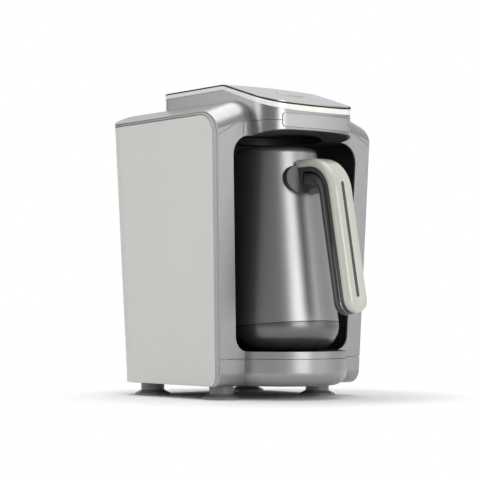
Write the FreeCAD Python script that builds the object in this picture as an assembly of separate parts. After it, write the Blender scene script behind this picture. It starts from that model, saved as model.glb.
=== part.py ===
import FreeCAD, Part
import math
import os

Vector = FreeCAD.Vector

# All sizes are millimetres. X runs to the right, Y to the back and Z up.
# While the pieces are made, Y is counted from the middle of the front feet and Z from the table.

# Reach of the boxes that only cut a form along straight lines
far = 500.0

# Body of the machine
base_z = 11.5
base_seam_z = 35.0
shoulder_z = 244.0
roof_rise = 12.0
crown_z = shoulder_z + roof_rise
crown_half_width = 55.0
bottom_width = 155.6
shoulder_width = 173.6
bottom_front_y = -31.4
shoulder_front_y = -38.5
bottom_rear_y = 122.7
shoulder_rear_y = 130.4
rear_corner_r = 25.0
lower_corner_r = 12.0
front_round_length = 25.0
front_round_drop = 22.0
wall = 2.5
seam_gap = 0.4
fit_gap = 0.3

# Side panels and the frames that they lie in
panel_thickness = 2.2
panel_edge_r = 0.8
frame_wall = 4.6
frame_front_inset = 2.2
panel_front_border = 6.0
panel_border = 2.2
frame_corner_r = 20.0
rear_cover_half_width = 56.0

# Seam between the front fascia and the top shell
seam_side_drop = 21.5
seam_level_drop = 8.0
seam_side_z = shoulder_z - seam_side_drop
seam_level_z = shoulder_z - seam_level_drop
seam_level_half_width = 62.0
seam_round = 40.0

# Head over the pot
head_half_width = 51.0
head_front_y = -66.5
head_rear_y = 92.0
head_front_bulge = 6.0
head_front_corner_r = 22.0
head_rear_corner_r = 12.0
head_flare_r = 8.0
head_under_drop = 20.0
head_under_z = shoulder_z - head_under_drop
head_under_rise = 5.0
bend_y = 0.0
bend_r = 22.0
neck_rise = 10.6
trim_height = 4.8
trim_low_z = crown_z + neck_rise
trim_top_z = trim_low_z + trim_height
trim_low_slope = 0.332
trim_top_slope = 0.312
trim_width = 3.4
trim_proud = 0.5
lid_thickness = 2.4
lid_edge = 1.3
gasket_width = 0.9
lid_crown = 1.3

# Badge plate
badge_half_width = 37.0
badge_rise = 6.8
badge_height = 11.2
badge_low_z = head_under_z + badge_rise
badge_high_z = badge_low_z + badge_height
badge_corner_r = 2.5
badge_thickness = 1.4
badge_proud = 0.5

# Start button in the sloping part of the lid
button_length = 25.0
button_width = 13.0
button_y = -29.0
button_proud = 0.5
button_travel = 1.2
button_clearance = 0.3
light_ring_width = 1.3
light_ring_sink = 0.1
light_ring_depth = 4.0
button_depth = 3.2
button_edge_r = 0.6
lid_reach = 10.0
board_thickness = 1.6

# Control board under the start button, measured square to the slope of the lid
control_top = -10.0
control_length = 68.0
control_width = 36.0
control_screw_x = 28.0
control_screw_v = 12.0
control_post_r = 2.8
switch_size = 12.0
switch_height = 4.0
plunger_r = 2.4
buzzer_x = -16.0
buzzer_v = 4.0
buzzer_r = 6.0
buzzer_height = 6.0
buzzer_hole_r = 1.0

# Opening and cavity for the pot
opening_high_drop = 19.0
opening_high_z = head_under_z - opening_high_drop
opening_high_half_width = 69.5
opening_low_z = 60.0
opening_low_half_width = 63.5
opening_upper_r = 17.0
opening_lower_r = 13.0
liner_wall = 1.8
liner_side_room = 0.8
liner_rear_y = 40.0
liner_rear_r = 44.0
tray_rise = 0.3
tray_thickness = 3.0
lip_height = 6.0
lip_top_z = base_seam_z + lip_height
tray_top_z = lip_top_z + tray_rise
ceiling_thickness = 2.2
recess_r = 41.0
recess_depth = 7.0

# Nose of the base under the pot
nose_r = 54.3
nose_centre_y = -20.6

# Pot
pot_rim_gap = 7.0
pot_rim_z = head_under_z - pot_rim_gap
pot_rim_r = 36.0
pot_rim_y = -9.0
pot_lean = math.atan(0.0758)
pot_cone_room = 20.0
pot_wall = 1.4
pot_rim_round = 6.0
pot_bottom_round = 21.0
pot_foot_height = 28.7
pot_floor_z = tray_top_z + pot_foot_height
pot_floor_round = 12.0
pot_cup_height = 21.3
pot_seam_z = tray_top_z + pot_cup_height
pot_seam_tilt = 5.0
cup_wall = 2.4
seal_thickness = 0.6
spreader_r = 36.0
spreader_thickness = 3.0
heater_r = 27.0
heater_wire_r = 3.4

# Plug at the back of the pot and its socket
plug_rise = 11.7
plug_z = tray_top_z + plug_rise
plug_height = 11.0
plug_width = 27.0
plug_face_y = 28.0
blade_length = 13.0
blade_width = 5.0
blade_thickness = 0.9
blade_pitch = 8.0
socket_face_y = 30.0
socket_width = 34.0
socket_height = 17.0
socket_depth = 20.0

# Handle of the pot
handle_width = 22.0
handle_top_drop = 12.0
handle_top_z = pot_rim_z - handle_top_drop
spine_y = -97.5
spine_drop = 20.7
spine_z = handle_top_z - spine_drop
spine_lean = 11.2
spine_length = 109.3
handle_end_z = spine_z - spine_length
handle_bend_r = 33.0
cover_depth = 7.0
frame_depth = 4.2
line_depth = 0.8
grip_depth = 10.5
cover_round = 4.5
scoop_r = 30.0
scoop_depth = 1.1
scoop_end = 10.0
grip_round = 5.0
cover_start_y = -49.0
grip_start_y = -57.0
strip_width = 3.2
strip_drop = 97.0
strip_thickness = 1.0
strip_sink = 1.2
bracket_half_width = 21.0
bracket_drop = 5.0
bracket_height = 23.5
bracket_high_z = handle_top_z - bracket_drop
bracket_low_z = bracket_high_z - bracket_height
bracket_thickness = 5.0
bracket_corner_r = 11.0

# Feet
foot_half_span = 54.7
foot_front_y = -2.0
foot_rear_y = 98.5
foot_r = 16.0
foot_flange = 3.6
foot_neck_r = 10.5
foot_cup_depth = 1.2

foot_screw_r = 4.0

# Base plate
base_plate_thickness = 3.0
base_split_y = -16.0
base_plate_rear_y = 110.0
frame_foot = 4.0

# Inside the body
board_half_width = 45.0
board_rise = 35.0
board_height = 80.0
board_low_z = base_seam_z + board_rise
board_high_z = board_low_z + board_height
board_gap = 22.0
board_y = liner_rear_y + board_gap
board_post_r = 3.5
board_post_x = 38.0
board_post_inset = 8.0
screw_r = 1.5
screw_head_r = 3.0
screw_head = 1.8
screw_grip = 10.0
screw_room = 0.1
inlet_x = 30.0
inlet_z = 32.0
inlet_r = 7.0
inlet_flange_r = 10.0
inlet_bore_r = 3.6
vent_count = 7
vent_length = 44.0
vent_height = 2.6
vent_pitch = 6.5
vent_rise = 115.0
vent_low_z = base_seam_z + vent_rise
lens_r = 5.0


def along(z, low, high):
    """Size at height z, between its value at the base and its value at the shoulder."""
    return low + (high - low) * (z - base_z) / (shoulder_z - base_z)


def half_width(z):
    return along(z, bottom_width, shoulder_width) / 2


def front_y(z):
    return along(z, bottom_front_y, shoulder_front_y)


def rear_y(z):
    return along(z, bottom_rear_y, shoulder_rear_y)


def rounded_wire(corners, place):
    """Closed wire through corners (u, v, radius), each rounded by an arc; place gives the 3D point."""
    edges = []
    ends = []
    count = len(corners)
    for i in range(count):
        u, v, radius = corners[i]
        point = Vector(u, v, 0)
        before = Vector(corners[i - 1][0], corners[i - 1][1], 0) - point
        after = Vector(corners[(i + 1) % count][0], corners[(i + 1) % count][1], 0) - point
        before.normalize()
        after.normalize()
        if radius <= 0:
            ends.append((point, point, point))
            continue
        half_angle = before.getAngle(after) / 2
        reach = radius / math.tan(half_angle)
        middle = before + after
        middle.normalize()
        deepest = point + middle * (radius / math.sin(half_angle) - radius)
        ends.append((point + before * reach, deepest, point + after * reach))
    for i in range(count):
        start, deepest, stop = [place(p.x, p.y) for p in ends[i]]
        if corners[i][2] > 0:
            edges.append(Part.Arc(start, deepest, stop).toShape())
        following = place(ends[(i + 1) % count][0].x, ends[(i + 1) % count][0].y)
        if stop.distanceToPoint(following) > 1e-6:
            edges.append(Part.LineSegment(stop, following).toShape())
    return Part.Wire(edges)


def prism_x(corners, x0, x1):
    """Prism along X of an outline given as (y, z, radius)."""
    wire = rounded_wire(corners, lambda u, v: Vector(x0, u, v))
    return Part.Face(wire).extrude(Vector(x1 - x0, 0, 0))


def prism_y(corners, y0, y1):
    """Prism along Y of an outline given as (x, z, radius)."""
    wire = rounded_wire(corners, lambda u, v: Vector(u, y0, v))
    return Part.Face(wire).extrude(Vector(0, y1 - y0, 0))


def block(x0, x1, y0, y1, z0, z1):
    return Part.makeBox(x1 - x0, y1 - y0, z1 - z0, Vector(x0, y0, z0))


def disc(x, y, z, radius, height):
    return Part.makeCylinder(radius, height, Vector(x, y, z))


def round_edges(shape, radius, chosen):
    """Fillet the edges whose middle point passes the test chosen."""
    edges = []
    for edge in shape.Edges:
        middle = edge.valueAt((edge.FirstParameter + edge.LastParameter) / 2)
        if chosen(middle, edge):
            edges.append(edge)
    return shape.makeFillet(radius, edges)


def mirrored(shape):
    return shape.mirror(Vector(0, 0, 0), Vector(1, 0, 0))


# Forms that the shells are cut from

def body_plan(z, inset):
    """Outline of the body at height z, drawn in by inset."""
    w = half_width(z) - inset
    y0 = front_y(z) + inset
    y1 = rear_y(z) - inset
    r = rear_corner_r - inset
    corners = [(-w, y0, 0), (w, y0, 0), (w, y1, r), (-w, y1, r)]
    return rounded_wire(corners, lambda u, v: Vector(u, v, z))


def roof_section(y, drop, inset):
    """Front view of the roof at depth y, lowered by drop where the front rounds over."""
    slope = (crown_z - shoulder_z) / (shoulder_width / 2 - crown_half_width)
    reach = shoulder_width / 2 + 20
    top = crown_z - inset - drop
    side = top - slope * (reach - crown_half_width)
    corners = [(-reach, 0, 0), (reach, 0, 0), (reach, side, 0), (crown_half_width, top, 40),
               (-crown_half_width, top, 40), (-reach, side, 0)]
    return rounded_wire(corners, lambda u, v: Vector(u, y, v))


def roof_form(inset):
    """Everything under the roof: straight at the back and rounded over at the front."""
    y_front = shoulder_front_y + inset - 0.2
    y_start = y_front + front_round_length
    back = Part.Face(roof_section(y_start, 0, inset)).extrude(Vector(0, shoulder_rear_y + 20 - y_start, 0))
    sections = []
    for step in range(7):
        angle = math.radians(15 * step)
        y = y_start - front_round_length * math.sin(angle)
        sections.append(roof_section(y, front_round_drop * (1 - math.cos(angle)), inset))
    return back.fuse(Part.makeLoft(sections, True, False))


def side_form(inset):
    """Side view of the body, with rounded lower corners."""
    low = base_z + inset
    high = crown_z + 10
    corners = [(front_y(low) + inset - 0.01, low, lower_corner_r - inset),
               (rear_y(low) - inset + 0.01, low, lower_corner_r - inset),
               (rear_y(high) - inset + 0.01, high, 0), (front_y(high) + inset - 0.01, high, 0)]
    return prism_x(corners, -shoulder_width, shoulder_width)


def body_form(inset):
    """Tapered body with its roof and rounded lower corners."""
    low = base_z + inset
    high = crown_z + 4
    tapered = Part.makeLoft([body_plan(low, inset), body_plan(high, inset)], True, True)
    return tapered.common(roof_form(inset)).common(side_form(inset))


def head_plan(inset, z0, z1):
    """Prism of the head's outline: a slightly bulging front and rounded corners."""
    w = head_half_width - inset
    front = head_front_y + inset
    bulge_r = (w * w + head_front_bulge ** 2) / (2 * head_front_bulge)
    prism = block(-w, w, front - 1, head_rear_y - inset, z0, z1)
    prism = prism.common(disc(0, front + bulge_r, z0, bulge_r, z1 - z0))
    front_r = head_front_corner_r - inset
    rear_r = head_rear_corner_r - inset
    prism = round_edges(prism, front_r, lambda p, e: abs(abs(p.x) - w) < 0.01 and p.y < 0
                        and abs(p.z - (z0 + z1) / 2) < 0.01 and e.Length > (z1 - z0) * 0.99)
    return round_edges(prism, rear_r, lambda p, e: abs(abs(p.x) - w) < 0.01 and p.y > head_rear_y - inset - 0.01
                       and abs(p.z - (z0 + z1) / 2) < 0.01)


def under_z(y):
    """Underside of the head: level at the opening and rising towards the front."""
    return head_under_z + head_under_rise * max(0.0, shoulder_front_y - y) / (shoulder_front_y - head_front_y)


def trim_low(y):
    return trim_low_z + trim_low_slope * min(0.0, y - bend_y)


def trim_top(y):
    return trim_top_z + trim_top_slope * min(0.0, y - bend_y)


def band(lower, upper, lower_shift, upper_shift, under_bend, over_bend):
    """Bar in side view between two lines that bend where the head starts to slope down."""
    y0 = head_front_y - 6
    y1 = head_rear_y + 6
    corners = [(y0, lower(y0) + lower_shift, 0), (bend_y, lower(bend_y) + lower_shift, under_bend),
               (y1, lower(y1) + lower_shift, 0), (y1, upper(y1) + upper_shift, 0),
               (bend_y, upper(bend_y) + upper_shift, over_bend), (y0, upper(y0) + upper_shift, 0)]
    return prism_x(corners, -head_half_width - 10, head_half_width + 10)


def head_side(low_shift, top_shift):
    """Side view of the head, from its underside to the trim."""
    y0 = head_front_y - 6
    y1 = head_rear_y + 6
    corners = [(y0, under_z(y0) + low_shift, 0), (shoulder_front_y, head_under_z + low_shift, 0),
               (y1, head_under_z + low_shift, 0), (y1, trim_low_z + top_shift, 0),
               (bend_y, trim_low_z + top_shift, bend_r), (y0, trim_low(y0) + top_shift, 0)]
    return prism_x(corners, -head_half_width - 20, head_half_width + 20)


def head_form(inset, low_shift, top_shift):
    return head_plan(inset, 0, far).common(head_side(low_shift, top_shift))


def nose_form(inset, top):
    """Round nose of the base with a rounded lower edge."""
    low = base_z + inset
    nose = disc(0, nose_centre_y, low, nose_r - inset, top - low)
    return round_edges(nose, lower_corner_r - inset, lambda p, e: abs(p.z - low) < 0.01)


def flares():
    """Hollow-cheeked fillets where the head grows out of the front."""
    y_face = shoulder_front_y + 1.5
    w = head_half_width
    r = head_flare_r
    square = block(w - 1, w + r, y_face - r - 1.5, y_face + 1, head_under_z, crown_z)
    hollow = disc(w + r, y_face - r - 1.5, head_under_z, r, crown_z - head_under_z)
    flare = square.cut(hollow).common(roof_form(0)).common(head_side(0, 0))
    return flare.fuse(mirrored(flare))


def opening_prism():
    """Opening of the front, rounded at its corners and wider at the top."""
    slope = (opening_high_half_width - opening_low_half_width) / (opening_high_z - opening_low_z)
    low = opening_low_half_width - slope * (opening_low_z - lip_top_z)
    high = opening_high_half_width + slope * (head_under_z - opening_high_z)
    corners = [(-low, lip_top_z, opening_lower_r), (low, lip_top_z, opening_lower_r),
               (high, head_under_z, opening_upper_r), (-high, head_under_z, opening_upper_r)]
    return prism_y(corners, front_y(head_under_z) - 2, bottom_front_y + 8)


def cavity_half_width(z):
    slope = (opening_high_half_width - opening_low_half_width) / (opening_high_z - opening_low_z)
    return opening_low_half_width + slope * (z - opening_low_z) + liner_side_room


def cavity_form(grow, z0, z1):
    """Space behind the opening: straight sides and a round back."""
    wires = []
    for z in (z0, z1):
        w = cavity_half_width(z) + grow
        y1 = liner_rear_y + grow
        corners = [(-w, shoulder_front_y - 5, 0), (w, shoulder_front_y - 5, 0),
                   (w, y1, liner_rear_r + grow), (-w, y1, liner_rear_r + grow)]
        wires.append(rounded_wire(corners, lambda u, v: Vector(u, v, z)))
    return Part.makeLoft(wires, True, True)


def frame_region(inset):
    """Side view of the frames that carry the side panels, drawn in by inset at the front and the top."""
    low = base_z
    high = shoulder_z - 0.5
    border = frame_front_inset + inset
    corners = [(front_y(low) + border, low - 1, 0), (rear_y(low) + 20, low - 1, 0),
               (rear_y(high) + 20, high - inset, 0), (front_y(high) + border, high - inset, frame_corner_r)]
    return prism_x(corners, -shoulder_width, shoulder_width)


def panel_region(grow):
    """Side view of the side panels."""
    low = base_z - grow
    high = shoulder_z - 0.5 - panel_border + grow
    border = frame_front_inset + panel_front_border - grow
    corners = [(front_y(low) + border, low, lower_corner_r - 4), (rear_y(low) + 20, low, 0),
               (rear_y(high) + 20, high, 0), (front_y(high) + border, high, frame_corner_r - 3)]
    return prism_x(corners, -shoulder_width, shoulder_width)


def above_front_seam(shift):
    """Front view of all that lies above the seam of the front fascia."""
    reach = shoulder_width
    corners = [(-reach, seam_side_z + shift - 20, 0), (-half_width(seam_side_z), seam_side_z + shift, 0),
               (-seam_level_half_width, seam_level_z + shift, seam_round),
               (seam_level_half_width, seam_level_z + shift, seam_round),
               (half_width(seam_side_z), seam_side_z + shift, 0), (reach, seam_side_z + shift - 20, 0),
               (reach, far, 0), (-reach, far, 0)]
    return prism_y(corners, -far, far)


# Pot forms

def pot_form(inset, z0, z1, lower_round, upper_round):
    """Leaning cone of the pot between two heights: its back is upright and its front leans out."""
    lean_tan = math.tan(pot_lean)
    start_z = z1 + pot_cone_room
    start = Vector(0, pot_rim_y + (start_z - pot_rim_z) * lean_tan, start_z)
    length = (start_z - z0 + pot_cone_room) / math.cos(pot_lean)
    start_r = pot_rim_r - inset - (start_z - pot_rim_z) / math.cos(pot_lean) * lean_tan
    cone = Part.makeCone(start_r, start_r + length * lean_tan, length, start,
                         Vector(0, -math.sin(pot_lean), -math.cos(pot_lean)))
    form = cone.common(block(-far, far, -far, far, z0, z1))
    if lower_round > 0:
        form = round_edges(form, lower_round, lambda p, e: abs(p.z - z0) < 0.01)
    if upper_round > 0:
        form = round_edges(form, upper_round, lambda p, e: abs(p.z - z1) < 0.01)
    return form


def above_pot_seam(shift):
    """Half space above the tilted seam of the pot."""
    centre = pot_rim_y - math.tan(pot_lean) * (pot_rim_z - pot_seam_z)
    space = block(-100, 100, -100, 100, 0, 300)
    space.rotate(Vector(0, 0, 0), Vector(1, 0, 0), -pot_seam_tilt)
    space.translate(Vector(0, centre, pot_seam_z + shift))
    return space


# Handle forms

lean = math.radians(spine_lean)
spine_down = Vector(0, -math.sin(lean), -math.cos(lean))
spine_out = Vector(0, -math.cos(lean), math.sin(lean))


def handle_outline(depth):
    """Corner points of the handle at a depth under its outer face: the start, the bend and the foot."""
    top = handle_top_z - depth
    on_spine = Vector(0, spine_y, spine_z) - spine_out * depth
    start = Vector(0, pot_rim_y, top)
    bend = on_spine + spine_down * ((on_spine.z - top) / math.cos(lean))
    foot = on_spine + spine_down * ((on_spine.z - handle_end_z + 25) / math.cos(lean))
    return start, bend, foot


def handle_layer(depth0, depth1):
    """Layer of the handle between two depths, over its whole width and past its end."""
    a0, b0, c0 = handle_outline(depth0)
    a1, b1, c1 = handle_outline(depth1)
    corners = [(a0.y, a0.z, 0), (b0.y, b0.z, handle_bend_r - depth0), (c0.y, c0.z, 0),
               (c1.y, c1.z, 0), (b1.y, b1.z, handle_bend_r - depth1), (a1.y, a1.z, 0)]
    return prism_x(corners, -handle_width / 2, handle_width / 2)


def handle_end_tool(reach, end_shift):
    """Prism square to the spine, with a round lower end, that trims the handle to length."""
    origin = Vector(0, spine_y, spine_z) + spine_out * 30
    length = (spine_z - handle_end_z) / math.cos(lean) + end_shift
    r = handle_width / 2 - 0.2
    corners = [(-reach, -120, 0), (-reach, length, r), (reach, length, r), (reach, -120, 0)]

    def place(u, v):
        return origin + Vector(u, 0, 0) + spine_down * v

    return Part.Face(rounded_wire(corners, place)).extrude(spine_out * -110)


parts = {}


def keep(name, shape):
    parts[name] = shape.removeSplitter()


def solids(shape):
    """The shape as one solid, or as a group of separate solids."""
    if len(shape.Solids) == 1:
        return shape.Solids[0]
    return Part.makeCompound(shape.Solids)


# Housing shells

outer_body = body_form(0)
wall_body = body_form(wall)
panel_body = body_form(panel_thickness)
pocket_body = body_form(panel_thickness + fit_gap)
frame_body = body_form(frame_wall)
outer_head = head_form(0, 0, 0)
inner_head = head_form(wall, -8, 20)
outer_nose = nose_form(0, lip_top_z)
inner_nose = nose_form(wall, lip_top_z + 10)

outer = outer_body.fuse(outer_head).fuse(outer_nose).fuse(flares())
inner = wall_body.fuse(inner_head).fuse(inner_nose)
skin = outer.cut(inner)
base_half_width = half_width(base_z) - frame_wall - frame_foot


def badge_space(grow):
    """Front view of the badge plate."""
    w = badge_half_width + grow
    corners = [(-w, badge_low_z - grow, badge_corner_r), (w, badge_low_z - grow, badge_corner_r),
               (w, badge_high_z + grow, badge_corner_r), (-w, badge_high_z + grow, badge_corner_r)]
    return prism_y(corners, head_front_y - 10, shoulder_front_y - 8)


badge_pocket = outer_head.cut(head_plan(badge_thickness - badge_proud, 0, far)).common(badge_space(fit_gap))

top_shell = skin.common(above_front_seam(seam_gap)).cut(frame_region(0)).cut(badge_pocket)
keep("top_shell", top_shell)

fascia = skin.cut(above_front_seam(0)).cut(frame_region(0))
fascia = fascia.common(block(-far, far, -far, 0, base_seam_z, far))
keep("front_fascia", fascia.cut(opening_prism()).cut(badge_pocket))

badge = head_plan(-badge_proud, 0, far).cut(head_plan(badge_thickness - badge_proud, 0, far))
keep("badge_plate", badge.common(badge_space(0)))

frame_foot_zone = block(-base_half_width, base_half_width, -far, far, 0, base_seam_z)
nose_casing = skin.cut(frame_region(0).cut(frame_foot_zone))
keep("nose_casing", nose_casing.common(block(-far, far, -far, base_split_y, 0, base_seam_z - seam_gap)))

left_side = block(-far, -rear_cover_half_width - seam_gap, -far, far, 0, far)
frame_left = outer_body.cut(frame_body).common(frame_region(seam_gap)).common(left_side)
panel_skin = outer_body.cut(block(-half_width(base_z) + panel_thickness, 0, -far, far, 0, base_z + frame_wall))
panel_pocket = outer_body.cut(block(-half_width(base_z) + panel_thickness + fit_gap, 0, -far, far,
                                     0, base_z + frame_wall))
frame_left = frame_left.cut(panel_pocket.cut(pocket_body).common(panel_region(seam_gap)))
frame_left = frame_left.cut(block(-base_half_width - seam_gap, 0, -far, base_plate_rear_y, 0, base_seam_z))
frame_left = frame_left.cut(cavity_form(liner_wall + fit_gap, base_seam_z - 1, shoulder_z))
keep("frame_left", frame_left)
keep("frame_right", mirrored(frame_left))

panel_left = panel_skin.cut(panel_body).common(panel_region(0)).common(left_side)
panel_left = round_edges(panel_left, panel_edge_r, lambda p, e: abs(-p.x - half_width(p.z)) < 0.05
                         and p.y < rear_y(p.z) - rear_corner_r - 1 and e.Length > 1)
keep("side_panel_left", panel_left)
keep("side_panel_right", mirrored(panel_left))

base_plate = block(-base_half_width + fit_gap, base_half_width - fit_gap, base_split_y + seam_gap,
                    base_plate_rear_y - fit_gap, base_z, base_z + base_plate_thickness)
keep("base_plate", base_plate)


def along_y(x, y, z, radius, length):
    """Round bar along Y."""
    return Part.makeCylinder(radius, length, Vector(x, y, z), Vector(0, 1, 0))


# Rear cover with its vents, cord inlet and screws

rear_cover = outer_body.cut(wall_body).common(frame_region(seam_gap))
rear_cover = rear_cover.common(block(-rear_cover_half_width, rear_cover_half_width,
                                      base_plate_rear_y, far, 0, far))
vents = []
for i in range(vent_count):
    z = vent_low_z + vent_pitch * i
    r = vent_height / 2 - 0.1
    vents.append(prism_y([(-vent_length / 2, z, r), (vent_length / 2, z, r),
                          (vent_length / 2, z + vent_height, r), (-vent_length / 2, z + vent_height, r)], 100, 150))
rear_cover = rear_cover.cut(Part.makeCompound(vents))
inlet_y = rear_y(inlet_z)
rear_cover = rear_cover.cut(along_y(inlet_x, 100, inlet_z, inlet_r + fit_gap, 60))
bush = along_y(inlet_x, inlet_y - 10, inlet_z, inlet_r, 10).fuse(
    along_y(inlet_x, inlet_y + 0.5, inlet_z, inlet_flange_r, 1.6))
bush = bush.fuse(along_y(inlet_x, inlet_y - 1, inlet_z, inlet_r, 2))
bush = bush.fuse(along_y(inlet_x, inlet_y - wall - 2.6, inlet_z, inlet_r + 1.6, 1.8))
bush = bush.cut(along_y(inlet_x, inlet_y - 20, inlet_z, inlet_bore_r, 40))
keep("cord_inlet_bush", bush)

cover_screws = []
for x in (-rear_cover_half_width + 8, rear_cover_half_width - 8):
    for z in (base_z + 24, shoulder_z - 20):
        face = rear_y(z) - 0.6
        rear_cover = rear_cover.cut(along_y(x, face, z, screw_head_r + 0.3, 5))
        rear_cover = rear_cover.cut(along_y(x, face - 10, z, screw_r + 0.2, 20))
        cover_screws.append(along_y(x, face - 8, z, screw_r, 8).fuse(along_y(x, face, z, screw_head_r, 0.5)))
keep("rear_cover", rear_cover)
keep("rear_cover_screws", Part.makeCompound(cover_screws))


# Liner, tray and ceiling of the cavity

floor_top = tray_top_z - tray_thickness - fit_gap
liner = cavity_form(liner_wall, floor_top - liner_wall, head_under_z + 0.5)
liner = liner.cut(cavity_form(0, floor_top, head_under_z + 0.5))
liner = liner.common(wall_body)
liner = liner.fuse(disc(0, nose_centre_y, floor_top - liner_wall, nose_r - wall - fit_gap, liner_wall))
for x in (-board_post_x, board_post_x):
    for z in (board_low_z + board_post_inset, board_high_z - board_post_inset):
        liner = liner.fuse(along_y(x, liner_rear_y - 1, z, board_post_r, board_y - liner_rear_y + 1)
                           .cut(cavity_form(0, floor_top, head_under_z)))
        liner = liner.cut(along_y(x, board_y - 12, z, screw_r + 0.1, 20))
socket_space = block(-socket_width / 2 - fit_gap, socket_width / 2 + fit_gap, socket_face_y - 5,
                     socket_face_y + socket_depth, plug_z - socket_height / 2 - fit_gap,
                     plug_z + socket_height / 2 + fit_gap)
keep("cavity_liner", liner.cut(socket_space))

tray = cavity_form(-fit_gap, tray_top_z - tray_thickness, tray_top_z).common(wall_body)
tray = tray.fuse(disc(0, nose_centre_y, tray_top_z - tray_thickness, nose_r - wall - fit_gap, tray_thickness))
keep("pot_tray", tray)

ceiling_low = 0.8


def ceiling_band(low_shift, high_shift):
    """Side view of the ceiling: level over the cavity, rising under the head."""
    y0 = head_front_y
    y1 = liner_rear_y + 10
    corners = [(y0, under_z(y0) + low_shift, 0), (shoulder_front_y, head_under_z + low_shift, 0),
               (y1, head_under_z + low_shift, 0), (y1, head_under_z + high_shift, 0),
               (shoulder_front_y, head_under_z + high_shift, 0), (y0, under_z(y0) + high_shift, 0)]
    return prism_x(corners, -shoulder_width / 2, shoulder_width / 2)


ceiling_plan = head_plan(wall + fit_gap, 0, far).common(block(-far, far, -far, liner_rear_y, 0, far))
ceiling_plan = ceiling_plan.fuse(cavity_form(liner_wall, base_z, crown_z).common(body_form(wall + fit_gap)))
ceiling = ceiling_band(ceiling_low, ceiling_low + ceiling_thickness).common(ceiling_plan)
recess_roof_z = head_under_z + recess_depth
ceiling = ceiling.cut(disc(0, pot_rim_y, 0, recess_r, far))
cup = disc(0, pot_rim_y, 0, recess_r + ceiling_thickness, recess_roof_z + ceiling_thickness)
cup = cup.cut(disc(0, pot_rim_y, -far, recess_r, recess_roof_z + far)).common(ceiling_band(ceiling_low, far))
ceiling = ceiling.fuse(cup).cut(disc(0, pot_rim_y, 0, lens_r + fit_gap, far))
keep("ceiling_cover", ceiling)

lens = disc(0, pot_rim_y, recess_roof_z - 1.0, lens_r, ceiling_thickness + 2.0)
lens = lens.fuse(disc(0, pot_rim_y, recess_roof_z + ceiling_thickness + fit_gap, lens_r + 2, 1.4))
keep("sensor_lens", round_edges(lens, 0.8, lambda p, e: p.z < recess_roof_z - 0.9))
sensor_board_z = recess_roof_z + ceiling_thickness + fit_gap + 1.4
keep("sensor_board", block(-14, 14, pot_rim_y - 11, pot_rim_y + 11, sensor_board_z, sensor_board_z + board_thickness))


# Trim ring, lid and start button

ring_inset = trim_width - trim_proud
trim = head_plan(-trim_proud, 0, far).cut(head_plan(ring_inset, -far, 2 * far))
trim = trim.common(band(trim_low, trim_top, 0.2, -lid_edge, bend_r, bend_r))
ledge = head_plan(ring_inset - 0.5, 0, far).cut(head_plan(ring_inset + 3, -far, 2 * far))
ledge = ledge.common(band(trim_low, trim_top, 0.2, -lid_thickness - fit_gap, bend_r, bend_r))
keep("trim_ring", trim.fuse(ledge))
gasket = head_plan(-trim_proud, 0, far).cut(head_plan(gasket_width - trim_proud, -far, 2 * far))
keep("lid_gasket", gasket.common(band(trim_top, trim_top, -lid_edge, 0, bend_r, bend_r)))


def lid_section(y, shift):
    """Front view of the lid at depth y: a slightly crowned bar."""
    w = head_half_width + 5
    top = trim_top_z + shift
    left = Vector(-w, y, top)
    right = Vector(w, y, top)
    down = Vector(0, 0, -lid_thickness)
    edges = [Part.Arc(left, Vector(0, y, top + lid_crown), right).toShape(),
             Part.LineSegment(right, right + down).toShape(),
             Part.LineSegment(right + down, left + down).toShape(),
             Part.LineSegment(left + down, left).toShape()]
    return Part.Wire(edges)


slope_angle = math.atan(trim_top_slope)
bend_reach = bend_r * math.tan(slope_angle / 2)
lid_sections = [lid_section(head_rear_y + 6, 0)]
for step in range(7):
    angle = slope_angle * step / 6
    lid_sections.append(lid_section(bend_y + bend_reach - bend_r * math.sin(angle), bend_r * (math.cos(angle) - 1)))
lid_sections.append(lid_section(head_front_y - 6, trim_top_slope * (head_front_y - 6 - bend_y)))
lid = Part.makeLoft(lid_sections, True, True)
lid = lid.common(head_plan(gasket_width - trim_proud + fit_gap, 0, far))
over_trim = head_plan(-trim_proud - 2, 0, far).cut(head_plan(ring_inset + seam_gap, -far, 2 * far))
lid = lid.cut(over_trim.common(band(trim_low, trim_top, -10, fit_gap - lid_edge, bend_r, bend_r)))

slope_down = Vector(0, -math.cos(slope_angle), -math.sin(slope_angle))
slope_up = Vector(0, -math.sin(slope_angle), math.cos(slope_angle))
button_top = Vector(0, button_y, trim_top(button_y) + lid_crown)


def button_prism(grow, high, low):
    """Oval prism square to the slope of the lid, between two heights over its surface."""
    w = button_length / 2 + grow
    h = button_width / 2 + grow
    origin = button_top + slope_up * high
    corners = [(-w, -h, h - 0.05), (w, -h, h - 0.05), (w, h, h - 0.05), (-w, h, h - 0.05)]

    def place(u, v):
        return origin + Vector(u, 0, 0) + slope_down * v

    return Part.Face(rounded_wire(corners, place)).extrude(slope_up * (low - high))


def slope_bar(x, v, radius, high, low):
    """Round bar square to the slope of the lid, at a place on it."""
    top = button_top + Vector(x, 0, 0) + slope_down * v + slope_up * high
    return Part.makeCylinder(radius, high - low, top, slope_up * -1)


def slope_box(x, v, length, width, high, low):
    """Box square to the slope of the lid, centred at a place on it."""
    origin = button_top + Vector(x, 0, 0) + slope_down * v + slope_up * high
    corners = [(-length / 2, -width / 2, 0), (length / 2, -width / 2, 0),
               (length / 2, width / 2, 0), (-length / 2, width / 2, 0)]

    def place(a, b):
        return origin + Vector(a, 0, 0) + slope_down * b

    return Part.Face(rounded_wire(corners, place)).extrude(slope_up * (low - high))


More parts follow.
